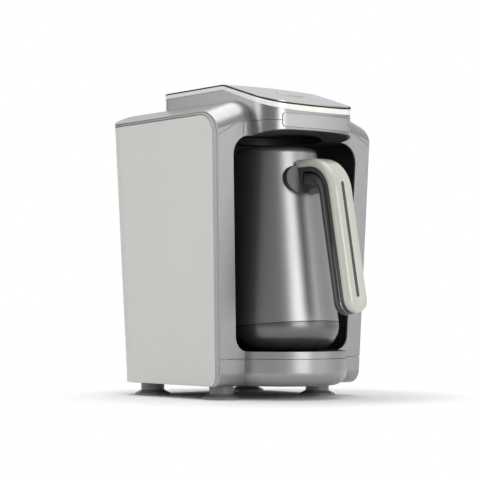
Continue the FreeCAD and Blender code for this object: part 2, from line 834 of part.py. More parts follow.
ring_outer = button_clearance + light_ring_width
lid = lid.cut(button_prism(ring_outer + seam_gap / 2, lid_reach, -lid_reach))
board_under = control_top - board_thickness
board_screws = []
for x in (-control_screw_x, control_screw_x):
    for v in (-control_screw_v, control_screw_v):
        lid = lid.fuse(slope_bar(x, v, control_post_r, -lid_thickness, control_top))
        lid = lid.cut(slope_bar(x, v, screw_r, control_top + screw_grip / 2, control_top - 1))
        shank = slope_bar(x, v, screw_r - screw_room, control_top + screw_grip / 2 - 0.5, board_under)
        board_screws.append(shank.fuse(slope_bar(x, v, screw_head_r, board_under, board_under - screw_head)))
keep("lid", lid)

light_ring = button_prism(ring_outer, -light_ring_sink, -light_ring_depth)
keep("button_light_ring", light_ring.cut(button_prism(button_clearance, 0, -light_ring_depth - 1)))

button = button_prism(0, button_proud, -button_depth)
button = round_edges(button, button_edge_r, lambda p, e: (p - button_top).dot(slope_up) > button_proud - 0.01)
keep("start_button", button)
plunger_end = control_top + button_travel + fit_gap
keep("switch_plunger", slope_bar(0, 0, plunger_r, -button_depth, plunger_end))
switch = slope_box(0, 0, switch_size, switch_size, control_top + switch_height, control_top)
keep("button_switch", switch.cut(slope_bar(0, 0, plunger_r + fit_gap, 0, plunger_end - button_travel)))
control_board = slope_box(0, 0, control_length, control_width, control_top, board_under)
for x in (-control_screw_x, control_screw_x):
    for v in (-control_screw_v, control_screw_v):
        control_board = control_board.cut(slope_bar(x, v, screw_r, 0, board_under - 1))
keep("control_board", control_board)
keep("control_board_screws", Part.makeCompound(board_screws))
buzzer = slope_bar(buzzer_x, buzzer_v, buzzer_r, board_under, board_under - buzzer_height)
buzzer_hole = slope_bar(buzzer_x, buzzer_v, buzzer_hole_r, board_under - buzzer_height / 2,
                        board_under - buzzer_height - 1)
keep("buzzer", buzzer.cut(buzzer_hole))


# Pot

pot_outer = pot_form(0, tray_top_z + fit_gap, pot_rim_z, pot_bottom_round, pot_rim_round)
pot_inner = pot_form(pot_wall, pot_floor_z, pot_rim_z - pot_wall, pot_floor_round, pot_rim_round - pot_wall)
mouth_r = pot_rim_r - pot_rim_round
mouth = disc(0, pot_rim_y, pot_rim_z - 10, mouth_r, 20)
under_floor = pot_form(pot_wall, 0, pot_floor_z - pot_wall, 0, 3)
vessel = pot_outer.cut(pot_inner).cut(mouth).cut(under_floor)
vessel = vessel.common(above_pot_seam(seal_thickness))
keep("pot_vessel", vessel)

cup_bottom = tray_top_z + fit_gap + cup_wall
cup_inner = pot_form(cup_wall, cup_bottom, 80, pot_bottom_round - cup_wall, 0)
base_cup = pot_outer.cut(cup_inner).cut(above_pot_seam(0))
plug_space = block(-plug_width / 2 - 0.15, plug_width / 2 + 0.15, 0, 60,
                   plug_z - plug_height / 2 - 0.15, plug_z + plug_height / 2 + 0.15)
keep("pot_base_cup", base_cup.cut(plug_space))
seal = pot_form(0.8, pot_seam_z - 12, pot_seam_z + 12, 0, 0)
seal = seal.cut(pot_form(0.8 + cup_wall, pot_seam_z - 13, pot_seam_z + 13, 0, 0))
keep("pot_seal", seal.common(above_pot_seam(0)).cut(above_pot_seam(seal_thickness)))

spreader_y = pot_rim_y - math.tan(pot_lean) * (pot_rim_z - pot_floor_z)
spreader_top = pot_floor_z - pot_wall
keep("heat_spreader", disc(0, spreader_y, spreader_top - spreader_thickness, spreader_r, spreader_thickness))
heater_z = spreader_top - spreader_thickness - heater_wire_r
heater = Part.makeTorus(heater_r, heater_wire_r, Vector(0, spreader_y, heater_z))
heater = heater.cut(block(-9, 9, spreader_y, spreader_y + 60, 0, 100))
for x in (-9.0, 9.0):
    y = spreader_y + math.sqrt(heater_r ** 2 - x ** 2)
    heater = heater.fuse(Part.makeCylinder(heater_wire_r * 0.75, 3.5, Vector(x, y, heater_z), Vector(-x, 0, 0)))
keep("heating_ring", solids(heater))
thermostat = disc(0, spreader_y, spreader_top - spreader_thickness - 6, 8, 6)
thermostat = thermostat.fuse(block(-12, 12, spreader_y - 4, spreader_y + 4, spreader_top - spreader_thickness - 5.2,
                                   spreader_top - spreader_thickness - 4))
keep("thermostat", thermostat)

plug_rear_y = plug_face_y
plug = block(-plug_width / 2, plug_width / 2, 4, plug_rear_y, plug_z - plug_height / 2, plug_z + plug_height / 2)
plug = round_edges(plug, 2.0, lambda p, e: abs(p.y - 16) < 0.01)
blades = []
for i in (-1, 0, 1):
    x = blade_pitch * i
    blades.append(block(x - blade_thickness / 2, x + blade_thickness / 2, 12, plug_rear_y + blade_length,
                        plug_z - blade_width / 2, plug_z + blade_width / 2))
blade_group = Part.makeCompound(blades)
keep("pot_plug", plug.cut(blade_group))
keep("plug_blades", blade_group)

socket_low = plug_z - socket_height / 2
socket = block(-socket_width / 2, socket_width / 2, socket_face_y, socket_face_y + socket_depth,
               socket_low, socket_low + socket_height)
socket = round_edges(socket, 1.5, lambda p, e: abs(p.y - socket_face_y) < 0.01)
contacts = []
for i in (-1, 0, 1):
    x = blade_pitch * i
    reach = blade_thickness / 2 + 0.4
    tip = plug_rear_y + blade_length
    socket = socket.cut(block(x - reach, x + reach, socket_face_y - 1, socket_face_y + 5,
                              plug_z - blade_width / 2 - 0.6, plug_z + blade_width / 2 + 0.6))
    socket = socket.cut(block(x - reach - 1.1, x + reach + 1.1, socket_face_y + 2, tip + 3,
                              plug_z - blade_width / 2 - 1, plug_z + blade_width / 2 + 1))
    clip = block(x - reach - 0.8, x + reach + 0.8, socket_face_y + 2.5, tip + 2,
                 plug_z - blade_width / 2, plug_z + blade_width / 2)
    contacts.append(clip.cut(block(x - reach, x + reach, 0, tip + 1, 0, 100)))
keep("pot_socket", socket)
keep("socket_contacts", Part.makeCompound(contacts))


# Handle of the pot

pot_clear = pot_form(-fit_gap, bracket_low_z - 20, pot_rim_z + 10, 0, 0)
depths = [0, cover_depth, cover_depth + frame_depth, cover_depth + frame_depth + line_depth,
          cover_depth + frame_depth + line_depth + grip_depth]


def handle_piece(depth0, depth1, start_y):
    layer = handle_layer(depth0, depth1).common(handle_end_tool(handle_width / 2, 0))
    return layer.common(block(-far, far, -far, start_y, 0, far))


def spine_depth(point):
    """Depth of a point under the outer face of the handle's spine."""
    return (Vector(0, spine_y, spine_z) - point).dot(spine_out)


def on_layer_side(point, edge, depth):
    """True for the side edges of a layer's face, at its top, its bend, its spine and its round end."""
    ends = [vertex.Point for vertex in edge.Vertexes]
    if abs(edge.valueAt(edge.FirstParameter).x - edge.valueAt(edge.LastParameter).x) > 1:
        return abs(spine_depth(point) - depth) < 0.01 and point.z < spine_z
    if abs(spine_depth(point) - depth) < 0.01 and point.z < spine_z + 1:
        return True
    level = min(end.z for end in ends) > handle_top_z - depth - 0.01
    return abs(point.x) > handle_width / 2 - 0.01 and (level or is_bend(edge, depth))


def is_bend(edge, depth):
    """True for the arc between the top and the spine of a layer's face."""
    return edge.Curve.TypeId == "Part::GeomCircle" and abs(edge.Curve.Radius - handle_bend_r + depth) < 0.01


cover = handle_piece(depths[0], depths[1], cover_start_y)
strip_length = strip_drop / math.cos(lean)


def strip_prism(grow, depth0, depth1):
    """Slim slot along the spine, between two depths."""
    w = strip_width / 2 + grow
    origin = Vector(0, spine_y, spine_z) - spine_out * depth0
    corners = [(-w, -grow, w - 0.05), (w, -grow, w - 0.05), (w, strip_length + grow, w - 0.05),
               (-w, strip_length + grow, w - 0.05)]

    def place(u, v):
        return origin + Vector(u, 0, 0) + spine_down * v

    return Part.Face(rounded_wire(corners, place)).extrude(spine_out * (depth0 - depth1))


cover = round_edges(cover, cover_round, lambda p, e: on_layer_side(p, e, depths[0]))
scoop_axis = Vector(0, spine_y, spine_z) + spine_out * (scoop_r - scoop_depth)
scoop_length = (spine_z - handle_end_z) / math.cos(lean) - scoop_end
scoop = Part.makeCylinder(scoop_r, scoop_length + 30, scoop_axis - spine_down * 30, spine_down)
scoop = scoop.fuse(Part.makeSphere(scoop_r, scoop_axis + spine_down * scoop_length))
cover = cover.cut(scoop)
cover = cover.cut(strip_prism(0.1, -1, strip_sink + strip_thickness))
keep("handle_cover", cover)
keep("handle_strip", strip_prism(0, strip_sink, strip_sink + strip_thickness))
keep("handle_frame", handle_piece(depths[1], depths[2], grip_start_y))
keep("handle_line", handle_piece(depths[2], depths[3], grip_start_y))
grip = handle_piece(depths[3], depths[4], grip_start_y)
keep("handle_grip", round_edges(grip, grip_round, lambda p, e: on_layer_side(p, e, depths[4])))

w = bracket_half_width
saddle = pot_form(-fit_gap - bracket_thickness, bracket_low_z - 20, pot_rim_z + 10, 0, 0).cut(pot_clear)
saddle = saddle.common(prism_y([(-w, bracket_low_z, bracket_corner_r), (w, bracket_low_z, bracket_corner_r),
                                (w, bracket_high_z, bracket_corner_r), (-w, bracket_high_z, bracket_corner_r)],
                               -90, pot_rim_y - 15))
neck_low = handle_top_z - depths[4]
neck = prism_x([(grip_start_y, neck_low, 0), (pot_rim_y, bracket_low_z - 1, 0),
                (pot_rim_y, handle_top_z - cover_depth, 0), (grip_start_y, handle_top_z - cover_depth, 0)],
               -handle_width / 2, handle_width / 2)
keep("handle_bracket", saddle.fuse(neck).cut(pot_clear).cut(handle_layer(-1, cover_depth)))


# Feet

cups = []
foot_screws = []
for x in (-foot_half_span, foot_half_span):
    for y in (foot_front_y, foot_rear_y):
        outline = [Vector(0, 0, foot_cup_depth + 1), Vector(foot_r - 3, 0, foot_cup_depth), Vector(foot_r - 2, 0, 0),
                   Vector(foot_r, 0, 0), Vector(foot_r, 0, foot_flange * 0.5), Vector(foot_neck_r + 2, 0, foot_flange),
                   Vector(foot_neck_r, 0, foot_flange + 1), Vector(foot_neck_r, 0, base_z),
                   Vector(foot_screw_r + 0.2, 0, base_z), Vector(foot_screw_r + 0.2, 0, foot_cup_depth + 3),
                   Vector(0, 0, foot_cup_depth + 3)]
        section = Part.Face(Part.makePolygon(outline + [outline[0]]))
        cup = section.revolve(Vector(0, 0, 0), Vector(0, 0, 1), 360)
        cup.translate(Vector(x, y, 0))
        cups.append(cup)
        pin = disc(x, y, foot_cup_depth + 3, foot_screw_r, base_z - foot_cup_depth - 3)
        foot_screws.append(pin.fuse(disc(x, y, base_z - 1, screw_r, base_plate_thickness + 4)))
        parts["base_plate"] = parts["base_plate"].cut(disc(x, y, base_z - 1, screw_r + 0.2, 10))
keep("suction_feet", Part.makeCompound(cups))
keep("foot_pins", Part.makeCompound(foot_screws))


# Power electronics behind the liner

power_board = block(-board_half_width, board_half_width, board_y, board_y + board_thickness, board_low_z, board_high_z)
power_screws = []
for x in (-board_post_x, board_post_x):
    for z in (board_low_z + board_post_inset, board_high_z - board_post_inset):
        power_board = power_board.cut(along_y(x, board_y - 1, z, screw_r + 0.1, 5))
        back = board_y + board_thickness
        power_screws.append(along_y(x, back - 10, z, screw_r, 10).fuse(along_y(x, back, z, screw_head_r, screw_head)))
keep("power_board", power_board)
keep("power_board_screws", Part.makeCompound(power_screws))
back = board_y + board_thickness
keep("transformer", block(-30, 0, back, back + 24, 84, 112))
keep("relay", block(10, 30, back, back + 16, 88, 104))
terminal = block(-20, 20, back, back + 11, 130, 141)
for i in range(3):
    terminal = terminal.cut(along_y(-13 + 13 * i, back + 7, 135.5, 2.6, 5))
keep("terminal_block", terminal)
keep("capacitor", along_y(18, back, 118, 5.5, 18))


# The origin is the middle of the footprint, on the table

whole = Part.makeCompound(list(parts.values()))
bounds = whole.optimalBoundingBox(False)
shift = Vector(-(bounds.XMin + bounds.XMax) / 2, -(bounds.YMin + bounds.YMax) / 2, -bounds.ZMin)
os.makedirs("parts", exist_ok=True)
for name, shape in parts.items():
    shape.translate(shift)
    shape.exportStep("parts/" + name + ".step")
    print(name, len(shape.Solids), round(shape.Volume), "valid" if shape.isValid() else "NOT VALID")
print("shift", shift, "nodes", len(parts))
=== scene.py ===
# %% [markdown]
# # An electric Turkish coffee maker
# The real machine is a tapered housing with a pot that slides out of a bay at its front. Its solids come
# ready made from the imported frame, so nothing is modelled twice here. This script gives each solid the
# finish of the real piece, adds the small repeated pieces, and sets up the floor, the light and the
# camera. All places and sizes are in metres, in the same frame as the solids.

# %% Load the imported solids
import bpy
import math
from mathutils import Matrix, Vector


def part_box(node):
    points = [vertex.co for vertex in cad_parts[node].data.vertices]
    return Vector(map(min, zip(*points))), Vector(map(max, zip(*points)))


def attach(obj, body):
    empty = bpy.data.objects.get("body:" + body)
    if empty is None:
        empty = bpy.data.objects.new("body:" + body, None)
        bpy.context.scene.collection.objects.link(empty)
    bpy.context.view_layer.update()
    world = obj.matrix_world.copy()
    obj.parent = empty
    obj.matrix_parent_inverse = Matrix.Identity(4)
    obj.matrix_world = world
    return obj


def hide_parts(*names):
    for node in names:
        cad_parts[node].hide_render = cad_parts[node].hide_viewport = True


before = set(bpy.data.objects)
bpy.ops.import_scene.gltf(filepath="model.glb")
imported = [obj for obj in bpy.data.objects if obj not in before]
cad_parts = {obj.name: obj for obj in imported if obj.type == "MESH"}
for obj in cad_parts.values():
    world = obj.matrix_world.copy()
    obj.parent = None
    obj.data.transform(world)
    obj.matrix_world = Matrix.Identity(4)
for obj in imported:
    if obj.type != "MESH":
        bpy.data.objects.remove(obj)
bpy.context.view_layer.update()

# %% [markdown]
# ## Colours and nodes
# A shader works with linear light, while a paint's colour is easiest to read off as a hex code. One
# function turns the code into linear values. A second one adds a node together with its settings and
# links, so that each material below reads as a short recipe and not as a page of socket names.

# %% Helpers for colours and nodes
def srgb(code):
    """Linear colour of a hex code such as c4c3bf."""
    values = []
    for i in (0, 2, 4):
        v = int(code[i:i + 2], 16) / 255
        values.append(v / 12.92 if v <= 0.04045 else ((v + 0.055) / 1.055) ** 2.4)
    return (*values, 1.0)


def add(tree, kind, links=None, **settings):
    """One node: settings with a leading capital are sockets, the others are properties."""
    node = tree.nodes.new(kind)
    for key, value in settings.items():
        if key[0].isupper():
            node.inputs[key.replace("_", " ")].default_value = value
        else:
            setattr(node, key, value)
    for socket, source in (links or {}).items():
        tree.links.new(source, node.inputs[socket])
    return node


def new_material(name):
    material = bpy.data.materials.new(name)
    material.use_nodes = True
    material.node_tree.nodes.clear()
    return material, material.node_tree


print("mid grey is", [round(v, 3) for v in srgb("808080")])

# %% [markdown]
# ## One recipe for every finish
# No moulded, painted or rolled surface has one even colour. A wide, faint cloud of noise mixes two
# nearby colours and moves the roughness with them, as on a real moulding, where both come from the same
# flow of the plastic. A much finer noise gives the grain that breaks up a reflection. An image could do
# this too, but noise in object coordinates has no seams, and its scale comes from real lengths.
# The sparkle of a lacquer and the grain of a plastic are drawn coarser than real ones, because a real
# grain is finer than a point of the picture.

# %% The recipe
mm = 0.001
cm = 0.01


def surface(name, colour, other, rough, patches=1.2, patch_stretch=(1, 1, 1), rough_spread=0.06,
            metallic=0.0, grain=0.0, grains=1.5, grain_stretch=(1, 1, 1), coat=0.0,
            coat_rough=0.1, specular=0.5):
    """Finish with patches of two colours and a fine grain.

    patches are counted in a centimetre, grains in a millimetre, and grain is their depth in millimetres.
    """
    material, tree = new_material(name)
    shader = add(tree, "ShaderNodeBsdfPrincipled", Metallic=metallic, Specular_IOR_Level=specular,
                 Coat_Weight=coat, Coat_Roughness=coat_rough)
    place = add(tree, "ShaderNodeTexCoord").outputs["Object"]
    wide = add(tree, "ShaderNodeMapping", {"Vector": place}, Scale=patch_stretch).outputs["Vector"]
    cloud = add(tree, "ShaderNodeTexNoise", {"Vector": wide}, Scale=patches / cm, Detail=4.0)
    blend = add(tree, "ShaderNodeMix", {"Factor": cloud.outputs["Fac"]}, data_type="RGBA")
    blend.inputs["A"].default_value = srgb(colour)
    blend.inputs["B"].default_value = srgb(other)
    tree.links.new(blend.outputs["Result"], shader.inputs["Base Color"])
    ramp = add(tree, "ShaderNodeMapRange", {"Value": cloud.outputs["Fac"]},
               To_Min=rough - rough_spread, To_Max=rough + rough_spread)
    tree.links.new(ramp.outputs["Result"], shader.inputs["Roughness"])
    if grain > 0:
        fine = add(tree, "ShaderNodeMapping", {"Vector": place}, Scale=grain_stretch).outputs["Vector"]
        noise = add(tree, "ShaderNodeTexNoise", {"Vector": fine}, Scale=grains / mm, Detail=3.0)
        bump = add(tree, "ShaderNodeBump", {"Height": noise.outputs["Fac"]}, Strength=1.0,
                   Distance=grain * mm)
        tree.links.new(bump.outputs["Normal"], shader.inputs["Normal"])
    add(tree, "ShaderNodeOutputMaterial", {"Surface": shader.outputs["BSDF"]})
    looks[name] = material


looks = {}
print("2 patches in a centimetre are noise scale", 2 / cm)

# %% [markdown]
# ## Finishes of the housing
# The shells are moulded plastic with a metallic lacquer. A real metal would mirror the room more
# sharply, so these finishes are mostly metallic with a soft highlight and a thin clear coat on top. The
# side panels are painted, and the trim under the lid is a glossy cream moulding.

# %% Lacquers, panel paint and trim
# Silver lacquer on plastic: satin, with soft wide reflections and a very fine sparkle
surface("silver_lacquer", "a0a0a1", "99999a", rough=0.34, metallic=0.85, grain=0.003, grains=2.6,
        coat=0.25, coat_rough=0.2)
# The lid has the same lacquer in a lighter tone and a smoother coat
surface("lid_lacquer", "b2b2b2", "ababac", rough=0.33, metallic=0.85, grain=0.003, grains=2.6,
        coat=0.3, coat_rough=0.18)
# Pale paint on the panels: nearly flat, with only a hint of pearl
surface("pale_panel_paint", "cdccc8", "c8c7c3", rough=0.45, patches=0.25, metallic=0.1, grain=0.005,
        grains=1.8, coat=0.15, coat_rough=0.3)
# Cream ABS, polished in the mould: clean narrow highlights
surface("cream_plastic", "f0efe9", "eae9e2", rough=0.24, patches=0.4, rough_spread=0.03, grain=0.002,
        grains=0.9, coat=0.4)
# Anodised aluminium, brushed along the plate: faint lines 20 mm long and up to half a millimetre wide,
# coarser than real ones, that draw its highlight out sideways
surface("badge_aluminium", "b4b4b3", "adadac", rough=0.42, patches=0.14, patch_stretch=(1, 30, 40),
        metallic=0.7, grain=0.002, grains=0.05, grain_stretch=(1, 40, 60))
print("finishes so far", len(looks))

# %% [markdown]
# ## Finishes of the pot
# The vessel is drawn from stainless steel and blasted to a satin that shows no brush lines. A wide
# highlight runs down its side, so its roughness changes very little over the surface. The cup round its
# foot carries a metallic coating, and the handle is a sandwich of cream and dark plastic with one thin
# bright line between them.

# %% Steel, cup and handle
# Blasted stainless steel: a broad, even highlight
surface("satin_pot_steel", "9e9e9d", "999998", rough=0.37, patches=0.7, rough_spread=0.02, metallic=0.9,
        grain=0.0015, grains=2.6)
# Dark metallic coat on plastic: duller and darker than the vessel above it
surface("cup_metal", "737374", "6c6c6d", rough=0.32, patches=0.9, metallic=0.8, grain=0.001,
        grains=2.4, coat=0.2, coat_rough=0.15)
# Warm cream plastic, smooth from the hand: a clear shine along its rounded edges
surface("handle_cream", "c2c1b8", "bcbbb1", rough=0.22, patches=0.4, rough_spread=0.03, grain=0.002,
        grains=0.9, coat=0.4, coat_rough=0.12)
# Dark grey plastic with a light spark erosion: satin, and lighter than the plastic of the bay
surface("dark_handle_plastic", "434344", "3c3c3d", rough=0.3, patches=0.7, grain=0.006, grains=1.5)
# Chromed strip: almost a mirror
surface("bright_chrome", "e4e4e4", "dededf", rough=0.08, rough_spread=0.02, metallic=1.0)
print("finishes so far", len(looks))

# %% [markdown]
# ## Dark plastics and rubbers
# The bay must look deep, so its liner, ceiling and tray are near black, but never pure black, which
# would hide their forms. They differ in texture: the rear is the coarsest, and the tray, which is
# wiped clean, is the smoothest. The seals are matt, but the suction feet are smooth and shine, because
# only a smooth rubber holds on a table.

# %% Bay, rear, feet and seals
# Textured PP of the bay's wall: takes the light evenly
surface("cavity_plastic", "2a2a2a", "242424", rough=0.5, patches=0.6, grain=0.01, grains=1.4)
# The ceiling is a little lighter, and shines more at a low angle
surface("ceiling_plastic", "303030", "2a2a2a", rough=0.42, patches=0.6, grain=0.008, grains=1.4)
# The tray is easy to wipe: a smoother black, with longer highlights
surface("tray_plastic", "262626", "202020", rough=0.35, patches=0.5, grain=0.008, grains=1.2)
# Glossy black thermoset of the plug and socket: small sharp highlights
surface("pot_cup_plastic", "1f1f20", "1a1a1b", rough=0.2, patches=0.6, rough_spread=0.03, coat=0.6,
        coat_rough=0.08)
# Coarse spark-eroded back: no clear reflection at all
surface("rear_plastic", "38383a", "323234", rough=0.55, patches=0.6, grain=0.015, grains=1.1)
# Smoky soft rubber of the feet: smooth, with a clear highlight along the rim
surface("foot_rubber", "7c7c7d", "6f6f70", rough=0.2, patches=0.9, grain=0.006, grains=1.5)
# Black seal rubber: matt
surface("seal_rubber", "151515", "101010", rough=0.55, patches=0.9, specular=0.35)
print("finishes so far", len(looks))

# %% [markdown]
# ## Finishes inside
# These pieces show only when the machine is taken apart, or through the opening of the pot. They follow
# what such parts are made of: plated screws, green laminate, tinned joints, brass blades, and a steel
# sheath that the heat has browned.

# %% Metals, boards and small parts
# Zinc-plated steel: small bluish spangles of under 2 mm
surface("zinc_steel", "a6a8ab", "989a9d", rough=0.33, patches=6, metallic=1.0, grain=0.003, grains=2.5)
# Turned aluminium: even and light
surface("turned_aluminium", "c2c3c5", "b5b6b8", rough=0.3, patches=0.4, metallic=1.0, grain=0.003,
        grains=0.9)
# Heater sheath, browned in patches
surface("heater_sheath", "6f6963", "58524d", rough=0.42, patches=1.8, metallic=1.0, grain=0.005,
        grains=1.4)
# Rolled brass: warm and yellow, with a soft shine
surface("contact_brass", "c9a45c", "b8934c", rough=0.28, patches=3, metallic=1.0)
# Solder: bright and smooth
surface("solder_tin", "c3c5c8", "b3b5b8", rough=0.24, patches=5, metallic=1.0)
# Solder mask on laminate: glossy green, and faintly uneven like the weave under it
surface("board_laminate", "1c5a33", "174d2b", rough=0.3, patches=3, coat=0.3, grain=0.004, grains=1.8)
# Black casings of the components: nearly matt
surface("moulded_black", "1a1a1a", "141414", rough=0.45, patches=2, grain=0.006, grains=2)
# Green polyamide of the terminals: plain and half matt
surface("terminal_green", "2c7a3c", "256b34", rough=0.4, patches=2)
# Shrink sleeve of the capacitor: dark blue and slightly glossy
surface("capacitor_sleeve", "233058", "1d2a4d", rough=0.3, patches=2, coat=0.4)
# Frosted light guide, unlit: a milky grey
surface("light_guide", "8d9090", "858888", rough=0.35, coat=0.3)
# Smoked window of the sensor: a dark mirror
surface("smoked_lens", "1a1014", "140c10", rough=0.08, rough_spread=0.02, coat=1.0, coat_rough=0.03)
print("finishes in all", len(looks))

# %% [markdown]
# ## Dressing the solids
# Each solid gets its finish through its own material slots, so its mesh stays as the frame gave it.
# A table from finish to pieces keeps the pieces of one real mould or one real sheet together.

# %% Finish of each piece
node_looks = {
    "silver_lacquer": "top_shell front_fascia nose_casing frame_left frame_right",
    "pale_panel_paint": "side_panel_left side_panel_right",
    "lid_lacquer": "lid start_button",
    "cream_plastic": "trim_ring",
    "badge_aluminium": "badge_plate",
    "satin_pot_steel": "pot_vessel",
    "cup_metal": "pot_base_cup",
    "handle_cream": "handle_cover",
    "dark_handle_plastic": "handle_frame handle_grip handle_bracket handle_strip",
    "bright_chrome": "handle_line",
    "cavity_plastic": "cavity_liner",
    "ceiling_plastic": "ceiling_cover",
    "tray_plastic": "pot_tray",
    "pot_cup_plastic": "pot_plug pot_socket",
    "rear_plastic": "rear_cover base_plate",
    "foot_rubber": "suction_feet",
    "seal_rubber": "pot_seal cord_inlet_bush lid_gasket",
    "zinc_steel": "rear_cover_screws control_board_screws power_board_screws foot_pins thermostat",
    "turned_aluminium": "heat_spreader",
    "heater_sheath": "heating_ring",
    "contact_brass": "plug_blades socket_contacts",
    "board_laminate": "sensor_board control_board power_board",
    "moulded_black": "switch_plunger button_switch buzzer relay transformer",
    "terminal_green": "terminal_block",
    "capacitor_sleeve": "capacitor",
    "light_guide": "button_light_ring",
    "smoked_lens": "sensor_lens",
}
dressed = set()
for look, names in node_looks.items():
    for name in names.split():
        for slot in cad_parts[name].material_slots:
            slot.material = looks[look]
        dressed.add(name)
print("dressed", len(dressed), "left", sorted(set(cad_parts) - dressed))

# %% [markdown]
# ## Tools for repeated pieces
# A screw or a solder joint is made once and set down at many points, which is what Geometry Nodes do
# best. Each tree below has named inputs for its sizes, so that they can be changed without opening the
# tree. The result is baked to a plain mesh, because instances would be lost when the model leaves
# Blender.

# %% Helpers for Geometry Nodes
def new_object(name, points, faces=()):
    mesh = bpy.data.meshes.new(name)
    mesh.from_pydata(points, [], faces)
    made = bpy.data.objects.new(name, mesh)
    bpy.context.scene.collection.objects.link(made)
    return made


def node_tree(name, sizes):
    """Geometry tree with one named input for each size, and the material as its last input."""
    tree = bpy.data.node_groups.new(name, "GeometryNodeTree")
    sockets = {"Geometry": "NodeSocketGeometry", **sizes, "Material": "NodeSocketMaterial"}
    keys = {}
    for label, kind in sockets.items():
        keys[label] = tree.interface.new_socket(label, in_out="INPUT", socket_type=kind).identifier
    tree.interface.new_socket("Geometry", in_out="OUTPUT", socket_type="NodeSocketGeometry")
    return tree, keys, tree.nodes.new("NodeGroupInput").outputs


def times(tree, value, factor):
    """A tree's value times a number."""
    product = add(tree, "ShaderNodeMath", {0: value}, operation="MULTIPLY")
    product.inputs[1].default_value = factor
    return product.outputs[0]


def vector(tree, **links):
    """Vector from the tree's values for X, Y and Z; one that isn't given is zero."""
    return add(tree, "ShaderNodeCombineXYZ", links).outputs[0]


def finish_tree(tree, geometry, material):
    real = add(tree, "GeometryNodeRealizeInstances", {"Geometry": geometry}).outputs["Geometry"]
    done = add(tree, "GeometryNodeSetMaterial", {"Geometry": real, "Material": material})
    add(tree, "NodeGroupOutput", {"Geometry": done.outputs["Geometry"]})


def bake(piece, tree, keys, values):
    """Run the tree once on the piece, keep the result as its mesh and take the modifier off."""
    modifier = piece.modifiers.new(tree.name, "NODES")
    modifier.node_group = tree
    for label, value in values.items():
        modifier[keys[label]] = value
    graph = bpy.context.evaluated_depsgraph_get()
    mesh = bpy.data.meshes.new_from_object(piece.evaluated_get(graph))
    piece.modifiers.clear()
    piece.data = mesh
    print(piece.name, len(mesh.polygons), "faces")


print("Geometry Nodes tools ready")

# %% [markdown]
# ## Screws of the rear cover
# Four cross-head screws hold the rear cover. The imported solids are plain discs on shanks, with the right
# place and size but no recess. Each plain screw's place is read off its own points, so the new screws
# sit exactly where the old ones were, and the old node is replaced.

# %% Where the four screws are
low_corner, high_corner = [Vector(corner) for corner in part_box("rear_cover_screws")]
middle_height = (low_corner.z + high_corner.z) / 2
plain_screws = {}
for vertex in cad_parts["rear_cover_screws"].data.vertices:
    quarter = (vertex.co.x > 0, vertex.co.z > middle_height)
    plain_screws.setdefault(quarter, []).append(vertex.co)
screw_points = []
for points in plain_screws.values():
    left, right = min(p.x for p in points), max(p.x for p in points)
    low, high = min(p.z for p in points), max(p.z for p in points)
    screw_points.append(((left + right) / 2, max(p.y for p in points), (low + high) / 2))
head_radius = (right - left) / 2
print("screws", len(screw_points), "head radius", round(head_radius / mm, 2), "mm")

# %% [markdown]
# The head is a low cone, narrower at its top, with a cross cut into it. Two bars crossing at the middle
# are taken away by a Boolean, as the tool does that presses the recess into a real head.

# %% The head and its cross
head_taper = 0.86
head_sides = 28
tree, keys, given = node_tree("cross_head_screws", {
    "Head Radius": "NodeSocketFloat", "Head Height": "NodeSocketFloat", "Shank Length": "NodeSocketFloat",
    "Recess Length": "NodeSocketFloat", "Recess Width": "NodeSocketFloat"})
radius, height, shank_length = given["Head Radius"], given["Head Height"], given["Shank Length"]
long_side, short_side = given["Recess Length"], given["Recess Width"]
head_drop = times(tree, height, -1.0)
head = add(tree, "GeometryNodeMeshCone", {"Radius Bottom": radius, "Depth": height,
                                          "Radius Top": times(tree, radius, head_taper)},
           Vertices=head_sides)
head = add(tree, "GeometryNodeTransform", {"Geometry": head.outputs["Mesh"],
                                           "Translation": vector(tree, Z=head_drop)})
cut = add(tree, "GeometryNodeMeshBoolean", {"Mesh 1": head.outputs[0]}, operation="DIFFERENCE")
for across, along in ((long_side, short_side), (short_side, long_side)):
    bar = add(tree, "GeometryNodeMeshCube", {"Size": vector(tree, X=across, Y=along, Z=height)})
    tree.links.new(bar.outputs["Mesh"], cut.inputs["Mesh 2"])

# %% [markdown]
# The shank is a plain cylinder under the head, half as wide. Its thread is left out, because it sits
# inside the cover and never shows. The whole screw is laid over, so that its head looks to the back.

# %% The shank and the four places
shank_share = 0.5
shank_sides = 16
shank = add(tree, "GeometryNodeMeshCylinder", {"Radius": times(tree, radius, shank_share),
                                               "Depth": shank_length}, Vertices=shank_sides)
half_shank = times(tree, shank_length, -0.5)
shank_drop = add(tree, "ShaderNodeMath", {0: half_shank, 1: head_drop}, operation="ADD")
shank = add(tree, "GeometryNodeTransform", {"Geometry": shank.outputs["Mesh"],
                                            "Translation": vector(tree, Z=shank_drop.outputs[0])})
screw = add(tree, "GeometryNodeJoinGeometry")
tree.links.new(cut.outputs["Mesh"], screw.inputs[0])
tree.links.new(shank.outputs[0], screw.inputs[0])
head_to_the_back = (-math.pi / 2, 0, 0)
spread = add(tree, "GeometryNodeInstanceOnPoints", {"Points": given["Geometry"],
                                                    "Instance": screw.outputs[0]},
             Rotation=head_to_the_back)
finish_tree(tree, spread.outputs["Instances"], given["Material"])
print("nodes in the screw tree", len(tree.nodes))

# %% [markdown]
# The sizes go in through the named inputs. The recess is shorter than the head is wide, so that a closed
# rim stays round it, as on a real screw.

# %% Bake the screws
screws = new_object("cross_head_screws", screw_points)
bake(screws, tree, keys, {"Head Radius": head_radius, "Head Height": 0.5 * mm, "Shank Length": 7.5 * mm,
                          "Recess Length": 3.4 * mm, "Recess Width": 0.8 * mm,
                          "Material": looks["zinc_steel"]})
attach(screws, "appliance")
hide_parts("rear_cover_screws")

